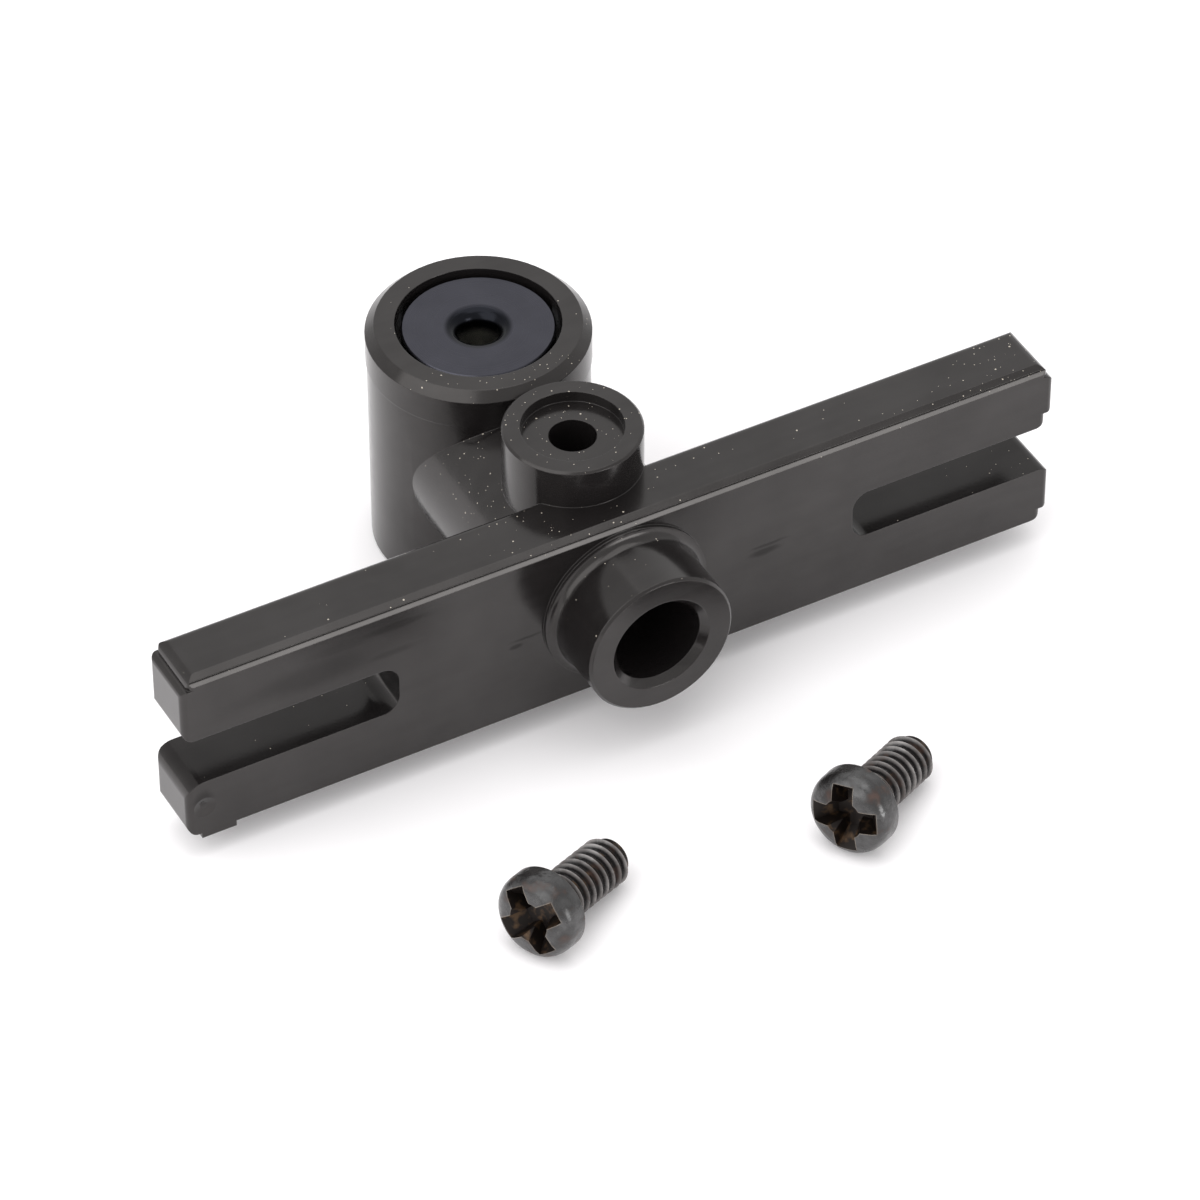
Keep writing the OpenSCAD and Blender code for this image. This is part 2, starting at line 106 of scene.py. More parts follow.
# Dull marks on the crossbar's front face, flow marks and one on the dent near the left end: X, Z,
# half length, half height, strength
FLOW_MARKS = [
    (6.01, -0.22, 0.75, 0.2, 0.5),
    (6.13, 0.08, 0.95, 0.1, 0.4),
    (-4.06, -0.1, 0.85, 0.08, 0.4),
    (-4.56, -0.37, 0.28, 0.14, 0.5),
    (-9.51, 2.87, 1.7, 0.22, 0.35),
    (-9.74, 1.65, 1.3, 0.2, 0.25),
    (-11.75, 2.79, 1.6, 0.35, 0.2),
    (-12.92, 1.93, 3.2, 0.75, 0.3),
    (-17.46, -2.12, 0.42, 0.5, 0.45),
]
# How ragged they are along X and Z
FLOW_RAGGED = (0.35, 0.12)
# What faces forward more than this in Y is the front face
FRONT_FACING = -0.9

# How far edges look rounded: on the moulding, on the screws
NYLON_EDGE = 0.05
SCREW_EDGE = 0.03
# How far from an edge the screws' heads are rubbed bare
EDGE_WEAR = 0.1

# The M2 screws, as the CAD solids that they stand for
SCREW_D = 1.97
SCREW_LENGTH = 4.1
HEAD_D = 3.3
HEAD_H = 1.3
TIP_CHAMFER = 0.15
# Half profile of the head, from the crown at 0 to its underside: (radius, height)
HEAD_PROFILE = [
    (0.3, 0.0), (0.85, 0.03), (1.2, 0.1), (1.42, 0.21), (1.56, 0.36), (1.63, 0.54),
    (1.65, 0.72), (1.65, 1.23), (1.59, 1.3),
]
# Their thread: pitch, turns, depth of the groove, width of the ridge at its foot
PITCH = 0.4
THREAD_TURNS = 9
THREAD_DEPTH = 0.22
RIDGE_W = 0.24
RIDGE_STEPS = 40
# How deep the ridge sits in the core, and the core in the head
RIDGE_SINK = 0.02
CORE_SINK = 0.1
# Shares of the thread's depth below the crest between which it changes from dark to a painted
# highlight
CREST_LIGHT = (0.6, 0.1)
# Their cross recess: length over two arms, width of an arm at the top, depth, and
# how much the recess narrows towards its floor
RECESS_LENGTH = 3.4
RECESS_ARM = 0.98
RECESS_DEPTH = 0.95
RECESS_TAPER = (0.42, 0.6)
# The bowl where its arms meet: radius at the crown, at its floor, and its flare above the crown
BOWL_R = 0.82
BOWL_FLOOR_R = 0.3
BOWL_FLARE = 1.2
# How far the tools that cut the recess stand out of the crown
CUT_OVER = 0.3
# Edges of the screws that are less sharp than this, in degrees, are shaded smooth
SMOOTH_ANGLE = 35
# Where each one lies (its head's middle in X and Y), where it points, and how its recess is turned
SCREWS = {
    "clamp_screw": {"place": (-9.67, -10.32), "turn": 26.0, "recess_turn": 40},
    "spindle_screw": {"place": (2.88, -11.2), "turn": 28.6, "recess_turn": 11},
}


def linear(hex_colour):
    """Linear colour of an sRGB hex value."""
    parts = [int(hex_colour[i:i + 2], 16) / 255 for i in (1, 3, 5)]
    line = [c / 12.92 if c <= 0.04045 else ((c + 0.055) / 1.055) ** 2.4 for c in parts]
    return (*line, 1.0)


def metres(point):
    """A point in millimetres as a vector in metres."""
    return Vector([c * MM for c in point])


def per_mm(size):
    """Texture scale of a pattern whose features are size millimetres wide."""
    return 1.0 / (size * MM)


def add(tree, kind, values=None, **settings):
    """A new node with its settings; a value that is a socket is linked."""
    made = tree.nodes.new(kind)
    for name, value in settings.items():
        setattr(made, name, value)
    for name, value in (values or {}).items():
        if isinstance(value, bpy.types.NodeSocket):
            tree.links.new(value, made.inputs[name])
        else:
            made.inputs[name].default_value = value
    return made


def new_material(name):
    """An empty material and its tree, with the piece's own coordinates."""
    material = bpy.data.materials.new(name)
    material.use_nodes = True
    tree = material.node_tree
    tree.nodes.clear()
    place = add(tree, "ShaderNodeTexCoord").outputs["Object"]
    return material, tree, place


def close_material(tree, shader):
    """Makes shader the surface of the tree's material."""
    add(tree, "ShaderNodeOutputMaterial", {"Surface": shader.outputs[0]})


def outside(tree, place, axis, middle, radius):
    """1 outside a round hole: axis masks the coordinates across it, middle lies on its axis."""
    across = add(tree, "ShaderNodeVectorMath", {
        0: place, 1: metres(middle),
    }, operation="SUBTRACT")
    flat = add(tree, "ShaderNodeVectorMath", {0: across.outputs[0], 1: axis}, operation="MULTIPLY")
    gap = add(tree, "ShaderNodeVectorMath", {0: flat.outputs[0]}, operation="LENGTH")
    return add(tree, "ShaderNodeMath", {
        0: gap.outputs["Value"], 1: radius * MM,
    }, operation="GREATER_THAN")


def flow_marks(tree, place, facing):
    """How dull the front face is at its flow marks, which are ragged ovals."""
    noise = add(tree, "ShaderNodeTexNoise", {
        "Vector": place, "Scale": per_mm(0.5), "Detail": 3.0,
    })
    ragged_x, ragged_z = FLOW_RAGGED
    ragged = add(tree, "ShaderNodeVectorMath", {
        0: noise.outputs["Color"], 1: metres((ragged_x, 0.0, ragged_z)), 2: place,
    }, operation="MULTIPLY_ADD")
    front = add(tree, "ShaderNodeMath", {
        0: facing.outputs["Y"], 1: FRONT_FACING,
    }, operation="LESS_THAN")
    total = None
    for x, z, half_length, half_height, strength in FLOW_MARKS:
        # the noise, whose middle is a half, shifts everything by half its reach
        shifted = add(tree, "ShaderNodeVectorMath", {
            0: ragged.outputs[0], 1: metres((x + ragged_x / 2, 0.0, z + ragged_z / 2)),
        }, operation="SUBTRACT")
        scaled = add(tree, "ShaderNodeVectorMath", {
            0: shifted.outputs[0], 1: (per_mm(half_length), 0.0, per_mm(half_height)),
        }, operation="MULTIPLY")
        gap = add(tree, "ShaderNodeVectorMath", {0: scaled.outputs[0]}, operation="LENGTH")
        mark = add(tree, "ShaderNodeMapRange", {
            "Value": gap.outputs["Value"], "From Min": 0.3, "From Max": 1.2,
            "To Min": strength, "To Max": 0.0,
        }, interpolation_type="SMOOTHSTEP")
        total = mark if total is None else add(tree, "ShaderNodeMath", {
            0: total.outputs[0], 1: mark.outputs[0],
        }, operation="MAXIMUM")
    return add(tree, "ShaderNodeMath", {
        0: total.outputs[0], 1: front.outputs[0],
    }, operation="MULTIPLY")


def slot_floor_shade(tree, place, facing):
    """How dull the slot floors are made, as painted shade in each slot: what faces up within
    SLOT_FLOOR_Z.
    """
    height = add(tree, "ShaderNodeSeparateXYZ", {"Vector": place}).outputs["Z"]
    low, high = (z * MM for z in SLOT_FLOOR_Z)
    above = add(tree, "ShaderNodeMath", {0: height, 1: low}, operation="GREATER_THAN")
    below = add(tree, "ShaderNodeMath", {0: height, 1: high}, operation="LESS_THAN")
    dull = add(tree, "ShaderNodeMapRange", {
        "Value": facing.outputs["Z"], "From Min": 0.4, "From Max": 0.9, "To Max": SLOT_SHADE,
    })
    for share in (above, below):
        dull = add(tree, "ShaderNodeMath", {
            0: dull.outputs[0], 1: share.outputs[0],
        }, operation="MULTIPLY")
    return dull


def dust_dots(tree, place, cell, spare):
    """Specks of dust: one dot in each cell, cell millimetres wide, whose lot is above spare."""
    cells = add(tree, "ShaderNodeTexVoronoi", {
        "Vector": place, "Scale": per_mm(cell), "Randomness": 1.0,
    })
    lot = add(tree, "ShaderNodeSeparateColor", {"Color": cells.outputs["Color"]})
    size = add(tree, "ShaderNodeMapRange", {
        "Value": lot.outputs[1], "To Min": DUST_SIZE[0], "To Max": DUST_SIZE[1],
    })
    dot = add(tree, "ShaderNodeMath", {
        0: cells.outputs["Distance"], 1: size.outputs[0],
    }, operation="LESS_THAN")
    chosen = add(tree, "ShaderNodeMath", {
        0: lot.outputs[0], 1: spare.outputs[0],
    }, operation="GREATER_THAN")
    return add(tree, "ShaderNodeMath", {
        0: dot.outputs[0], 1: chosen.outputs[0],
    }, operation="MULTIPLY")


def dust_cover(tree, place, facing):
    """Where dust lies: on what faces up, most of it near DUST_MIDDLES, and none in the holes."""
    gaps = [add(tree, "ShaderNodeVectorMath", {0: place, 1: metres(middle)}, operation="DISTANCE")
            for middle in DUST_MIDDLES]
    gap = add(tree, "ShaderNodeMath", {
        0: gaps[0].outputs["Value"], 1: gaps[1].outputs["Value"],
    }, operation="MINIMUM")
    spare = add(tree, "ShaderNodeMapRange", {
        "Value": gap.outputs[0], "From Min": DUST_REACH[0] * MM, "From Max": DUST_REACH[1] * MM,
        "To Min": DUST_SPARE[0], "To Max": DUST_SPARE[1],
    })
    coarse, fine = (dust_dots(tree, place, cell, spare) for cell in DUST_CELLS)
    dust = add(tree, "ShaderNodeMath", {
        0: coarse.outputs[0], 1: fine.outputs[0],
    }, operation="MAXIMUM")
    upward = add(tree, "ShaderNodeMapRange", {
        "Value": facing.outputs["Z"], "From Min": 0.1, "From Max": 0.5,
    })
    clear_bore = outside(tree, place, (1.0, 0.0, 1.0), (0, 0, 0), BORE_R)
    clear_hole = outside(tree, place, (1.0, 1.0, 0.0), (0, CLAMP_HOLE_Y, 0), CLAMP_HOLE_R)
    for share in (upward, clear_bore, clear_hole):
        dust = add(tree, "ShaderNodeMath", {
            0: dust.outputs[0], 1: share.outputs[0],
        }, operation="MULTIPLY")
    return dust


def black_nylon():
    """Injection-moulded black nylon: a semi-gloss skin with softened edges, faint flow streaks
    along the bar, dull flow marks, slot floors dulled as painted shade, a fine moulded grain and
    pale specks of dust."""
    material, tree, place = new_material("black_nylon")
    # the streaks are about eight times as long as they are wide
    along = add(tree, "ShaderNodeMapping", {"Vector": place, "Scale": (0.12, 1.0, 1.0)})
    streaks = add(tree, "ShaderNodeTexNoise", {
        "Vector": along.outputs[0], "Scale": per_mm(0.5), "Detail": 3.0,
    })
    patches = add(tree, "ShaderNodeTexNoise", {
        "Vector": place, "Scale": per_mm(2.5), "Detail": 4.0,
    })
    grain = add(tree, "ShaderNodeTexNoise", {
        "Vector": place, "Scale": per_mm(0.12), "Detail": 2.0,
    })
    facing = add(tree, "ShaderNodeSeparateXYZ", {
        "Vector": add(tree, "ShaderNodeNewGeometry").outputs["Normal"],
    })
    tone = add(tree, "ShaderNodeMix", {
        0: patches.outputs["Fac"], 6: linear("#141212"), 7: linear("#1c1a1a"),
    }, data_type="RGBA")
    dust = dust_cover(tree, place, facing)
    colour = add(tree, "ShaderNodeMix", {
        0: dust.outputs[0], 6: tone.outputs[2], 7: linear("#aca498"),
    }, data_type="RGBA")
    rough = add(tree, "ShaderNodeMapRange", {
        "Value": streaks.outputs["Fac"], "From Min": 0.3, "From Max": 0.7,
        "To Min": 0.14, "To Max": 0.22,
    })
    uneven = add(tree, "ShaderNodeMix", {
        0: 0.3, 2: patches.outputs["Fac"], 3: streaks.outputs["Fac"],
    })
    sheen = add(tree, "ShaderNodeMapRange", {
        "Value": uneven.outputs[0], "From Min": 0.35, "From Max": 0.65,
        "To Min": 0.4, "To Max": 0.49,
    })
    marks = flow_marks(tree, place, facing)
    slot_shade = slot_floor_shade(tree, place, facing)
    # the flow marks are dull, and the slot floors are dulled as painted shade
    dull = add(tree, "ShaderNodeMath", {
        0: marks.outputs[0], 1: slot_shade.outputs[0],
    }, operation="MAXIMUM")
    clean = add(tree, "ShaderNodeMath", {0: 1.0, 1: dull.outputs[0]}, operation="SUBTRACT")
    shine = add(tree, "ShaderNodeMath", {
        0: sheen.outputs[0], 1: clean.outputs[0],
    }, operation="MULTIPLY")
    soft = add(tree, "ShaderNodeBevel", {"Radius": NYLON_EDGE * MM}, samples=6)
    bump = add(tree, "ShaderNodeBump", {
        "Strength": 0.06, "Distance": 0.02 * MM,
        "Height": grain.outputs["Fac"], "Normal": soft.outputs[0],
    })
    skin = add(tree, "ShaderNodeBsdfPrincipled", {
        "Base Color": colour.outputs[2], "Roughness": rough.outputs[0], "IOR": 1.53,
        "Specular IOR Level": shine.outputs[0], "Specular Tint": linear("#fffaf7"),
        "Normal": bump.outputs[0],
    })
    close_material(tree, skin)
    return material


def blackened_steel():
    """Turned steel, chemically blackened: a bluish black with fine rings left by the lathe tool."""
    material, tree, place = new_material("blackened_turned_steel")
    centred = add(tree, "ShaderNodeMapping", {
        "Vector": place, "Location": (0.0, -CUP_AXIS_Y * MM, 0.0),
    })
    flat = add(tree, "ShaderNodeVectorMath", {
        0: centred.outputs[0], 1: (1.0, 1.0, 0.0),
    }, operation="MULTIPLY")
    radius = add(tree, "ShaderNodeVectorMath", {
        0: flat.outputs[0],
    }, operation="LENGTH").outputs["Value"]
    turns = add(tree, "ShaderNodeMath", {
        0: radius, 1: per_mm(RING_SPACING),
    }, operation="MULTIPLY")
    rings = add(tree, "ShaderNodeTexNoise", {
        "W": turns.outputs[0], "Scale": 1.0, "Detail": 2.0,
    }, noise_dimensions="1D")
    patches = add(tree, "ShaderNodeTexNoise", {
        "Vector": place, "Scale": per_mm(1.2), "Detail": 3.0,
    })
    tone = add(tree, "ShaderNodeMix", {
        0: patches.outputs["Fac"], 6: linear("#3d3d43"), 7: linear("#494950"),
    }, data_type="RGBA")
    # painted shade: the tap's rounded mouth is painted a darker black, which stands for the shade
    # in it
    mouth_shade = add(tree, "ShaderNodeMapRange", {
        "Value": radius, "From Min": MOUTH_R[0] * MM, "From Max": MOUTH_R[1] * MM,
        "To Min": 1.0, "To Max": 0.0,
    }, interpolation_type="SMOOTHSTEP")
    tone_and_mouth_shade = add(tree, "ShaderNodeMix", {
        0: mouth_shade.outputs[0], 6: tone.outputs[2], 7: linear("#1d1e22"),
    }, data_type="RGBA")
    # painted light: down the tap the wall is painted a pale steel colour, which stands for the
    # light on it
    height = add(tree, "ShaderNodeSeparateXYZ", {"Vector": place})
    low, high = (SPINDLE_TOP - depth * MM for depth in TAP_LIT_DEPTHS)
    deep = add(tree, "ShaderNodeMapRange", {
        "Value": height.outputs["Z"], "From Min": low, "From Max": high,
        "To Min": 1.0, "To Max": 0.0,
    })
    inside = add(tree, "ShaderNodeMath", {0: radius, 1: TAP_R * MM}, operation="LESS_THAN")
    # painted light: this mask puts the pale colour on the tap's wall
    bare = add(tree, "ShaderNodeMath", {
        0: deep.outputs[0], 1: inside.outputs[0],
    }, operation="MULTIPLY")
    colour = add(tree, "ShaderNodeMix", {
        0: bare.outputs[0], 6: tone_and_mouth_shade.outputs[2], 7: linear("#d2d1cc"),
    }, data_type="RGBA")
    rough = add(tree, "ShaderNodeMapRange", {
        "Value": rings.outputs["Fac"], "From Min": 0.3, "From Max": 0.7,
        "To Min": 0.2, "To Max": 0.28,
    })
    bump = add(tree, "ShaderNodeBump", {
        "Strength": 0.2, "Distance": 0.01 * MM, "Height": rings.outputs["Fac"],
    })
    skin = add(tree, "ShaderNodeBsdfPrincipled", {
        "Base Color": colour.outputs[2], "Metallic": 1.0, "Roughness": rough.outputs[0],
        "Normal": bump.outputs[0],
    })
    close_material(tree, skin)
    return material


def plain_metal(name, dark, light, rough):
    """Ground or pressed metal of the hidden pieces: two close tones and a fine scratch grain."""
    material, tree, place = new_material(name)
    grain = add(tree, "ShaderNodeTexNoise", {
        "Vector": place, "Scale": per_mm(0.2), "Detail": 3.0,
    })
    tone = add(tree, "ShaderNodeMix", {
        0: grain.outputs["Fac"], 6: linear(dark), 7: linear(light),
    }, data_type="RGBA")
    shine = add(tree, "ShaderNodeMapRange", {
        "Value": grain.outputs["Fac"], "To Min": rough - 0.08, "To Max": rough + 0.08,
    })
    skin = add(tree, "ShaderNodeBsdfPrincipled", {
        "Base Color": tone.outputs[2], "Metallic": 1.0, "Roughness": shine.outputs[0],
    })
    close_material(tree, skin)
    return material


def thread_light_and_shade(tree, place, axis, patches, colour, sheen):
    """Colour and sheen of a thread round axis, a point and a direction: its crests are painted
    light, unevenly, as painted highlights, and its grooves are dulled as painted shade."""
    point, along = axis
    across = add(tree, "ShaderNodeVectorMath", {0: place, 1: point}, operation="SUBTRACT")
    moment = add(tree, "ShaderNodeVectorMath", {
        0: across.outputs[0], 1: along,
    }, operation="CROSS_PRODUCT")
    radius = add(tree, "ShaderNodeVectorMath", {0: moment.outputs[0]}, operation="LENGTH")
    low, high = ((SCREW_D / 2 - THREAD_DEPTH * share) * MM for share in CREST_LIGHT)
    crest = add(tree, "ShaderNodeMapRange", {
        "Value": radius.outputs["Value"], "From Min": low, "From Max": high,
    })
    uneven = add(tree, "ShaderNodeMapRange", {
        "Value": patches.outputs["Fac"], "From Min": 0.36, "From Max": 0.62,
        "To Min": 1.0, "To Max": 0.4,
    })
    crest_light = add(tree, "ShaderNodeMath", {
        0: crest.outputs[0], 1: uneven.outputs[0],
    }, operation="MULTIPLY")
    # painted highlight: the crests are painted light
    crest_lit_colour = add(tree, "ShaderNodeMix", {
        0: crest_light.outputs[0], 6: colour.outputs[2], 7: linear("#8a8583"),
    }, data_type="RGBA")
    # painted shade: the sheen is lowered in the grooves
    groove_shade = add(tree, "ShaderNodeMapRange", {
        "Value": crest.outputs[0], "To Min": 0.38, "To Max": 1.0,
    })
    shine = add(tree, "ShaderNodeMath", {
        0: sheen.outputs[0], 1: groove_shade.outputs[0],
    }, operation="MULTIPLY")
    return crest_lit_colour, shine


def rubbed_edges(tree, colour):
    """Colour of a piece whose edges are rubbed to brownish bare steel."""
    rounded = add(tree, "ShaderNodeBevel", {"Radius": EDGE_WEAR * MM}, samples=8)
    face = add(tree, "ShaderNodeNewGeometry")
    alike = add(tree, "ShaderNodeVectorMath", {
        0: rounded.outputs[0], 1: face.outputs["Normal"],
    }, operation="DOT_PRODUCT")
    rubbed = add(tree, "ShaderNodeMapRange", {
        "Value": alike.outputs["Value"], "From Min": 0.75, "From Max": 0.98,
        "To Min": 0.85, "To Max": 0.0,
    })
    return add(tree, "ShaderNodeMix", {
        0: rubbed.outputs[0], 6: colour.outputs[2], 7: linear("#85796c"),
    }, data_type="RGBA")


def black_oxide(name, axis=None):
    """Black-oxide screw steel: a satin black skin of oxide, scuffed with use, which isn't metallic,
    with brown tinges of rust. With axis it is the finish of a thread, with painted highlights on
    its crests and painted shade in its grooves, and otherwise that of a head."""
    material, tree, place = new_material(name)
    patches = add(tree, "ShaderNodeTexNoise", {
        "Vector": place, "Scale": per_mm(0.7), "Detail": 5.0,
    })
    grain = add(tree, "ShaderNodeTexNoise", {
        "Vector": place, "Scale": per_mm(0.12), "Detail": 2.0,
    })
    rust = add(tree, "ShaderNodeMapRange", {
        "Value": patches.outputs["Fac"], "From Min": 0.56, "From Max": 0.72,
    })
    tone = add(tree, "ShaderNodeMix", {
        0: grain.outputs["Fac"], 6: linear("#131212"), 7: linear("#201e1e"),
    }, data_type="RGBA")
    colour = add(tree, "ShaderNodeMix", {
        0: rust.outputs[0], 6: tone.outputs[2], 7: linear("#40302a"),
    }, data_type="RGBA")
    rough = add(tree, "ShaderNodeMapRange", {
        "Value": patches.outputs["Fac"], "From Min": 0.3, "From Max": 0.7,
        "To Min": 0.2, "To Max": 0.34,
    })
    sheen = add(tree, "ShaderNodeMapRange", {
        "Value": patches.outputs["Fac"], "From Min": 0.35, "From Max": 0.65,
        "To Min": 0.66, "To Max": 0.28,
    })
    if axis:
        colour, sheen = thread_light_and_shade(tree, place, axis, patches, colour, sheen)
    else:
        colour = rubbed_edges(tree, colour)
    soft = add(tree, "ShaderNodeBevel", {"Radius": SCREW_EDGE * MM}, samples=6)
    fine = add(tree, "ShaderNodeBump", {
        "Strength": 0.25, "Distance": 0.012 * MM,
        "Height": grain.outputs["Fac"], "Normal": soft.outputs[0],
    })
    bump = add(tree, "ShaderNodeBump", {
        "Strength": 0.6, "Distance": 0.11 * MM,
        "Height": patches.outputs["Fac"], "Normal": fine.outputs[0],
    })
    skin = add(tree, "ShaderNodeBsdfPrincipled", {
        "Base Color": colour.outputs[2], "IOR": 1.7, "Specular IOR Level": sheen.outputs[0],
        "Roughness": rough.outputs[0], "Normal": bump.outputs[0],
    })
    close_material(tree, skin)
    return material


def rust_and_groove_shade_steel():
    """Raw steel of the cross recess and the thread's core: nearly black, with brown rust; on the
    core its near black is also painted shade in the thread's grooves.
    """
    material, tree, place = new_material("rust_and_groove_shade_steel")
    patches = add(tree, "ShaderNodeTexNoise", {
        "Vector": place, "Scale": per_mm(0.35), "Detail": 4.0,
    })
    brown = add(tree, "ShaderNodeMapRange", {
        "Value": patches.outputs["Fac"], "From Min": 0.53, "From Max": 0.7,
    })
    colour = add(tree, "ShaderNodeMix", {
        0: brown.outputs[0], 6: linear("#1b1512"), 7: linear("#54412f"),
    }, data_type="RGBA")
    skin = add(tree, "ShaderNodeBsdfPrincipled", {
        "Base Color": colour.outputs[2], "Metallic": 0.6, "Roughness": 0.42,
    })
    close_material(tree, skin)
    return material


def white_paper():
    """Matt white studio paper, without a pattern."""
    material, tree, _ = new_material("white_paper")
    skin = add(tree, "ShaderNodeBsdfDiffuse", {"Color": linear("#fbf9fa")})
    close_material(tree, skin)
    return material


def start_piece():
    """Back to object mode with nothing selected."""
    if bpy.context.mode != "OBJECT":
        bpy.ops.object.mode_set(mode="OBJECT")
    bpy.ops.object.select_all(action="DESELECT")


def turned(name, profile, sides=64):
    """A closed turned solid about Z through the (radius, height) points of profile."""
    start_piece()
    radius, height = profile[0]
    bpy.ops.mesh.primitive_circle_add(
        vertices=sides, radius=radius, fill_type="NGON", location=(0, 0, height))
    piece = bpy.context.object
    piece.name = name
    bpy.ops.object.mode_set(mode="EDIT")
    bpy.ops.mesh.select_all(action="SELECT")
    for next_radius, next_height in profile[1:]:
        bpy.ops.mesh.extrude_region_move(
            TRANSFORM_OT_translate={"value": (0, 0, next_height - height)})
        scale = next_radius / radius
        bpy.ops.transform.resize(value=(scale, scale, 1), center_override=(0, 0, next_height))
        radius, height = next_radius, next_height
    bpy.ops.mesh.select_all(action="SELECT")
    bpy.ops.mesh.normals_make_consistent(inside=False)
    bpy.ops.object.mode_set(mode="OBJECT")
    bpy.ops.object.transform_apply(location=True, rotation=True, scale=True)
    return piece


def thread_ridge(name, foot_r, height, start_z):
    """A helical ridge of triangular section that winds up from a foot of radius foot_r."""
    start_piece()
    bpy.ops.mesh.primitive_circle_add(
        vertices=3, radius=1, fill_type="NOTHING", rotation=(math.pi / 2, 0, 0))
    ridge = bpy.context.object
    ridge.name = name
    bpy.ops.object.transform_apply(location=True, rotation=True, scale=True)
    bpy.ops.object.mode_set(mode="EDIT")
    bpy.ops.mesh.select_all(action="SELECT")
    bpy.ops.transform.rotate(value=-math.pi / 2, orient_axis="Y", center_override=(0, 0, 0))
    # the triangle of radius 1 is 1.5 high and the root of 3 wide, and becomes the ridge's section
    bpy.ops.transform.resize(
        value=(height / 1.5, 1, RIDGE_W / math.sqrt(3)), center_override=(0, 0, 0))
    bpy.ops.transform.translate(value=(foot_r + height / 3, 0, start_z))
    bpy.ops.object.mode_set(mode="OBJECT")
    winding = ridge.modifiers.new("winding", "SCREW")
    winding.screw_offset = PITCH
    winding.iterations = THREAD_TURNS
    winding.steps = RIDGE_STEPS
    winding.render_steps = RIDGE_STEPS
    winding.use_normal_calculate = True
    bpy.ops.object.modifier_apply(modifier=winding.name)
    # its two open ends are closed
    bpy.ops.object.mode_set(mode="EDIT")
    bpy.ops.mesh.select_all(action="DESELECT")
    bpy.ops.mesh.select_non_manifold()
    bpy.ops.mesh.edge_face_add()
    bpy.ops.mesh.select_all(action="SELECT")
    bpy.ops.mesh.normals_make_consistent(inside=False)
    bpy.ops.object.mode_set(mode="OBJECT")
    return ridge


def cut(piece, tool):
    """Takes tool out of piece."""
    start_piece()
    piece.select_set(True)
    bpy.context.view_layer.objects.active = piece
    modifier = piece.modifiers.new("cut", "BOOLEAN")
    modifier.object = tool
    modifier.operation = "DIFFERENCE"
    modifier.solver = "EXACT"
    modifier.material_mode = "TRANSFER"
    bpy.ops.object.modifier_apply(modifier=modifier.name)
    bpy.data.objects.remove(tool)


def recess_arm(angle, material):
    """One bar of the cross recess, across the head's top at 0 and narrower towards its floor."""
    start_piece()
    bpy.ops.mesh.primitive_plane_add(size=1)
    arm = bpy.context.object
    bpy.ops.object.mode_set(mode="EDIT")
    bpy.ops.mesh.select_all(action="SELECT")
    bpy.ops.transform.resize(value=(RECESS_LENGTH, RECESS_ARM, 1), center_override=(0, 0, 0))
    bpy.ops.transform.translate(value=(0, 0, -CUT_OVER))
    bpy.ops.mesh.extrude_region_move(
        TRANSFORM_OT_translate={"value": (0, 0, CUT_OVER + RECESS_DEPTH)})
    bpy.ops.transform.resize(value=(*RECESS_TAPER, 1), center_override=(0, 0, RECESS_DEPTH))
    bpy.ops.mesh.select_all(action="SELECT")
    bpy.ops.transform.rotate(
        value=math.radians(angle), orient_axis="Z", center_override=(0, 0, 0))
    bpy.ops.mesh.normals_make_consistent(inside=False)
    bpy.ops.object.mode_set(mode="OBJECT")
    arm.data.materials.append(material)
    return arm


def pan_screw(node, place, turn, recess_turn, finish, recess_finish):
    """A pan-head screw with thread and cross recess, lying on its head's edge and its tip."""
    head_r, shank_r = HEAD_D / 2, SCREW_D / 2
    core_r = shank_r - THREAD_DEPTH
    end = HEAD_H + SCREW_LENGTH
    lean = math.atan((head_r - shank_r) / (SCREW_LENGTH - TIP_CHAMFER))
    top_z = FLOOR_Z / MM + head_r * math.cos(lean) + HEAD_H * math.sin(lean)
    lying = (Matrix.Rotation(math.radians(turn), 4, "Z")
             @ Matrix.Rotation(math.pi / 2 + lean, 4, "Y"))
    laid = Matrix.Scale(MM, 4) @ Matrix.Translation((*place, top_z)) @ lying
    head = turned(node + "_head", HEAD_PROFILE, sides=96)
    head.data.materials.append(finish)
    for angle in (recess_turn, recess_turn + 90):
        cut(head, recess_arm(angle, recess_finish))
    bowl = turned(node + "_bowl", [
        (BOWL_R * BOWL_FLARE, -CUT_OVER), (BOWL_R, 0.0), (BOWL_FLOOR_R, RECESS_DEPTH),
    ], sides=32)
    bowl.data.materials.append(recess_finish)
    cut(head, bowl)
    # painted shade: the core between the ridges takes the nearly black finish, which stands for the
    # shade in the grooves
    core = turned(node + "_core", [
        (core_r, HEAD_H - CORE_SINK), (core_r, end - TIP_CHAMFER), (core_r - TIP_CHAMFER, end),
    ])
    core.data.materials.append(recess_finish)
    ridge = thread_ridge(node + "_ridge", core_r - RIDGE_SINK, THREAD_DEPTH + RIDGE_SINK,
                         HEAD_H + RIDGE_W / 2)
    axis = (laid.translation, lying.col[2].xyz)
    # the ridge's finish has painted highlights on its crests and painted shade in its grooves
    ridge.data.materials.append(black_oxide("crest_lit_oxide_steel_" + node, axis))
    start_piece()
    for part in (core, ridge, head):
        part.select_set(True)
    bpy.context.view_layer.objects.active = head
    bpy.ops.object.join()
    screw = bpy.context.object
    screw.name = node + "_dressed"
    bpy.ops.object.shade_smooth_by_angle(angle=math.radians(SMOOTH_ANGLE))
    screw.matrix_world = laid
    bpy.ops.object.transform_apply(location=True, rotation=True, scale=True)
    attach(screw, node)
    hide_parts(node)


def dress(node, material):
    """Gives a carried-over CAD node its finish."""
    mesh = frame["nodes"][node].data
    mesh.materials.clear()
    mesh.materials.append(material)


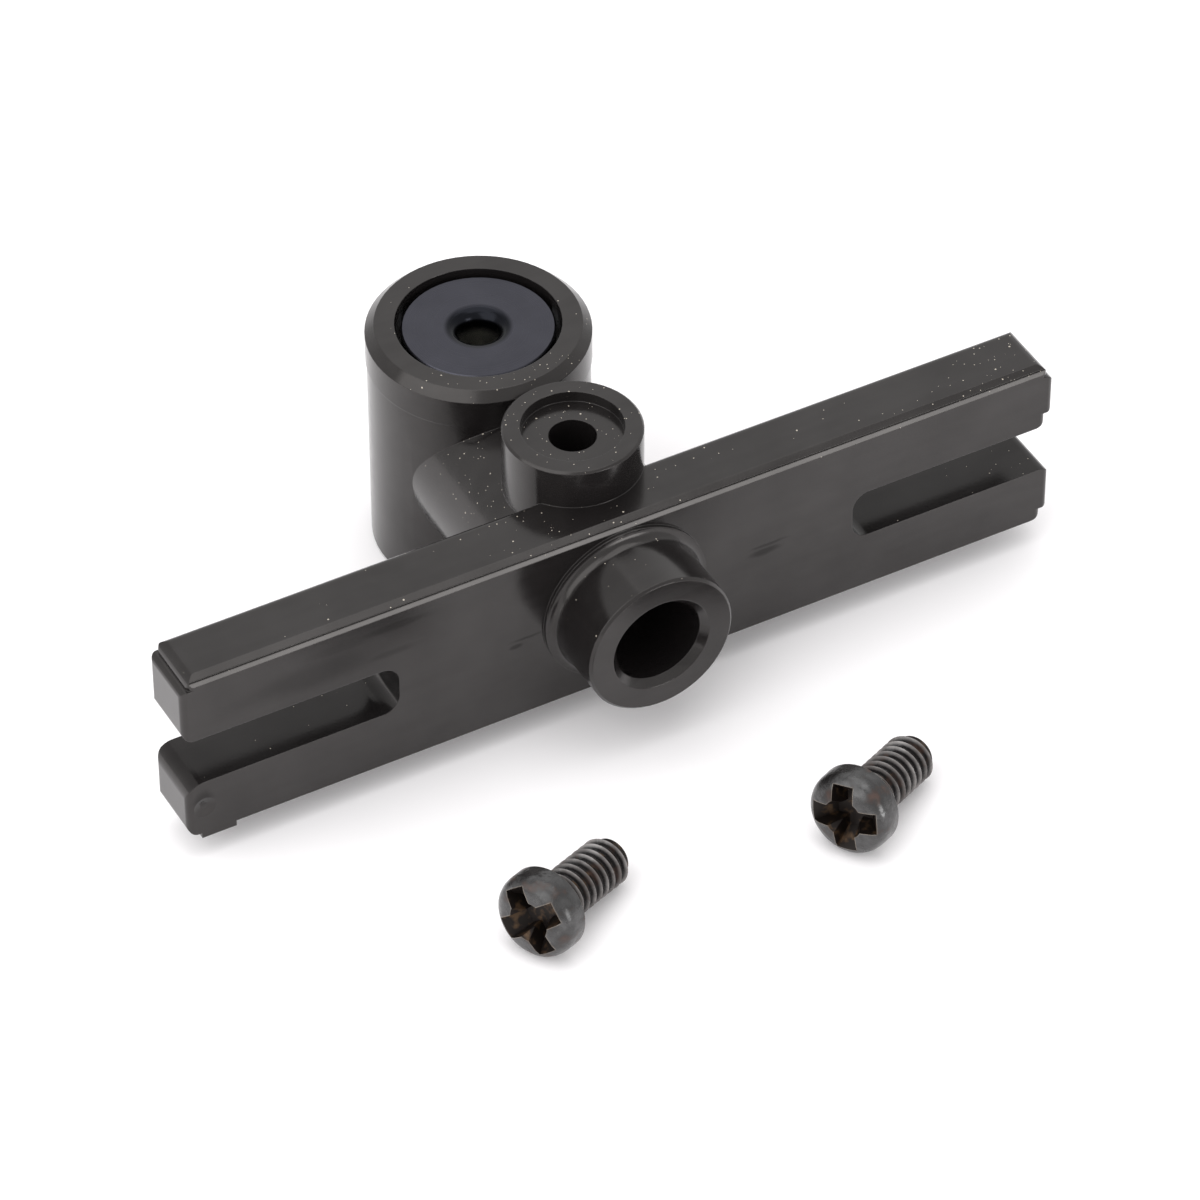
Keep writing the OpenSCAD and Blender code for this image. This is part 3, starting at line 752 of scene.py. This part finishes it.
def set_camera():
    """The photograph's camera."""
    data = bpy.data.cameras.new("camera")
    data.lens = CAMERA_LENS
    data.sensor_width = CAMERA_SENSOR
    data.clip_start = 0.01
    data.clip_end = 10.0
    camera = bpy.data.objects.new("camera", data)
    bpy.context.collection.objects.link(camera)
    turn = Matrix.Rotation(math.radians(CAMERA_AZIMUTH), 4, "Z")
    tilt = Matrix.Rotation(math.radians(90 - CAMERA_ELEVATION), 4, "X")
    roll = Matrix.Rotation(math.radians(CAMERA_ROLL), 4, "Z")
    camera.matrix_world = Matrix.Translation(metres(CAMERA_PLACE)) @ turn @ tilt @ roll
    bpy.context.scene.camera = camera


def area_light(name, place, size, power):
    """A square softbox at place that faces LIGHT_TARGET, in millimetres and watts."""
    data = bpy.data.lights.new(name, "AREA")
    data.size = size * MM
    data.energy = power
    light = bpy.data.objects.new(name, data)
    bpy.context.collection.objects.link(light)
    light.location = metres(place)
    away = metres(place) - metres(LIGHT_TARGET)
    light.rotation_euler = away.to_track_quat("Z", "Y").to_euler()


def set_stage():
    """White paper under an even white sky, lit by the softboxes."""
    bpy.ops.object.select_all(action="DESELECT")
    bpy.ops.mesh.primitive_plane_add(size=FLOOR_WIDTH, location=(0, 0, FLOOR_Z))
    floor = bpy.context.object
    floor.name = "floor"
    floor.data.materials.append(white_paper())
    world = bpy.data.worlds.new("studio")
    world.use_nodes = True
    tree = world.node_tree
    tree.nodes.clear()
    sky = add(tree, "ShaderNodeBackground", {
        "Color": (1.0, 1.0, 1.0, 1.0), "Strength": SKY_STRENGTH,
    })
    add(tree, "ShaderNodeOutputWorld", {"Surface": sky.outputs[0]})
    bpy.context.scene.world = world
    for softbox in SOFTBOXES:
        area_light(*softbox)
    bpy.context.scene.view_settings.view_transform = "Standard"


set_camera()
set_stage()
dress("hub_moulding", black_nylon())
dress("spindle", blackened_steel())
hidden = {
    "bearing_steel": plain_metal("ground_bearing_steel", "#b9bcc0", "#d4d6d8", 0.3),
    "cage_brass": plain_metal("pressed_brass", "#a5823f", "#c19d55", 0.38),
}
for row in frame["record"]["subparts"]:
    if row["material_slot"] in hidden:
        dress(row["node"], hidden[row["material_slot"]])

oxide = black_oxide("black_oxide_steel")
rust = rust_and_groove_shade_steel()
for node, how in SCREWS.items():
    pan_screw(node, finish=oxide, recess_finish=rust, **how)
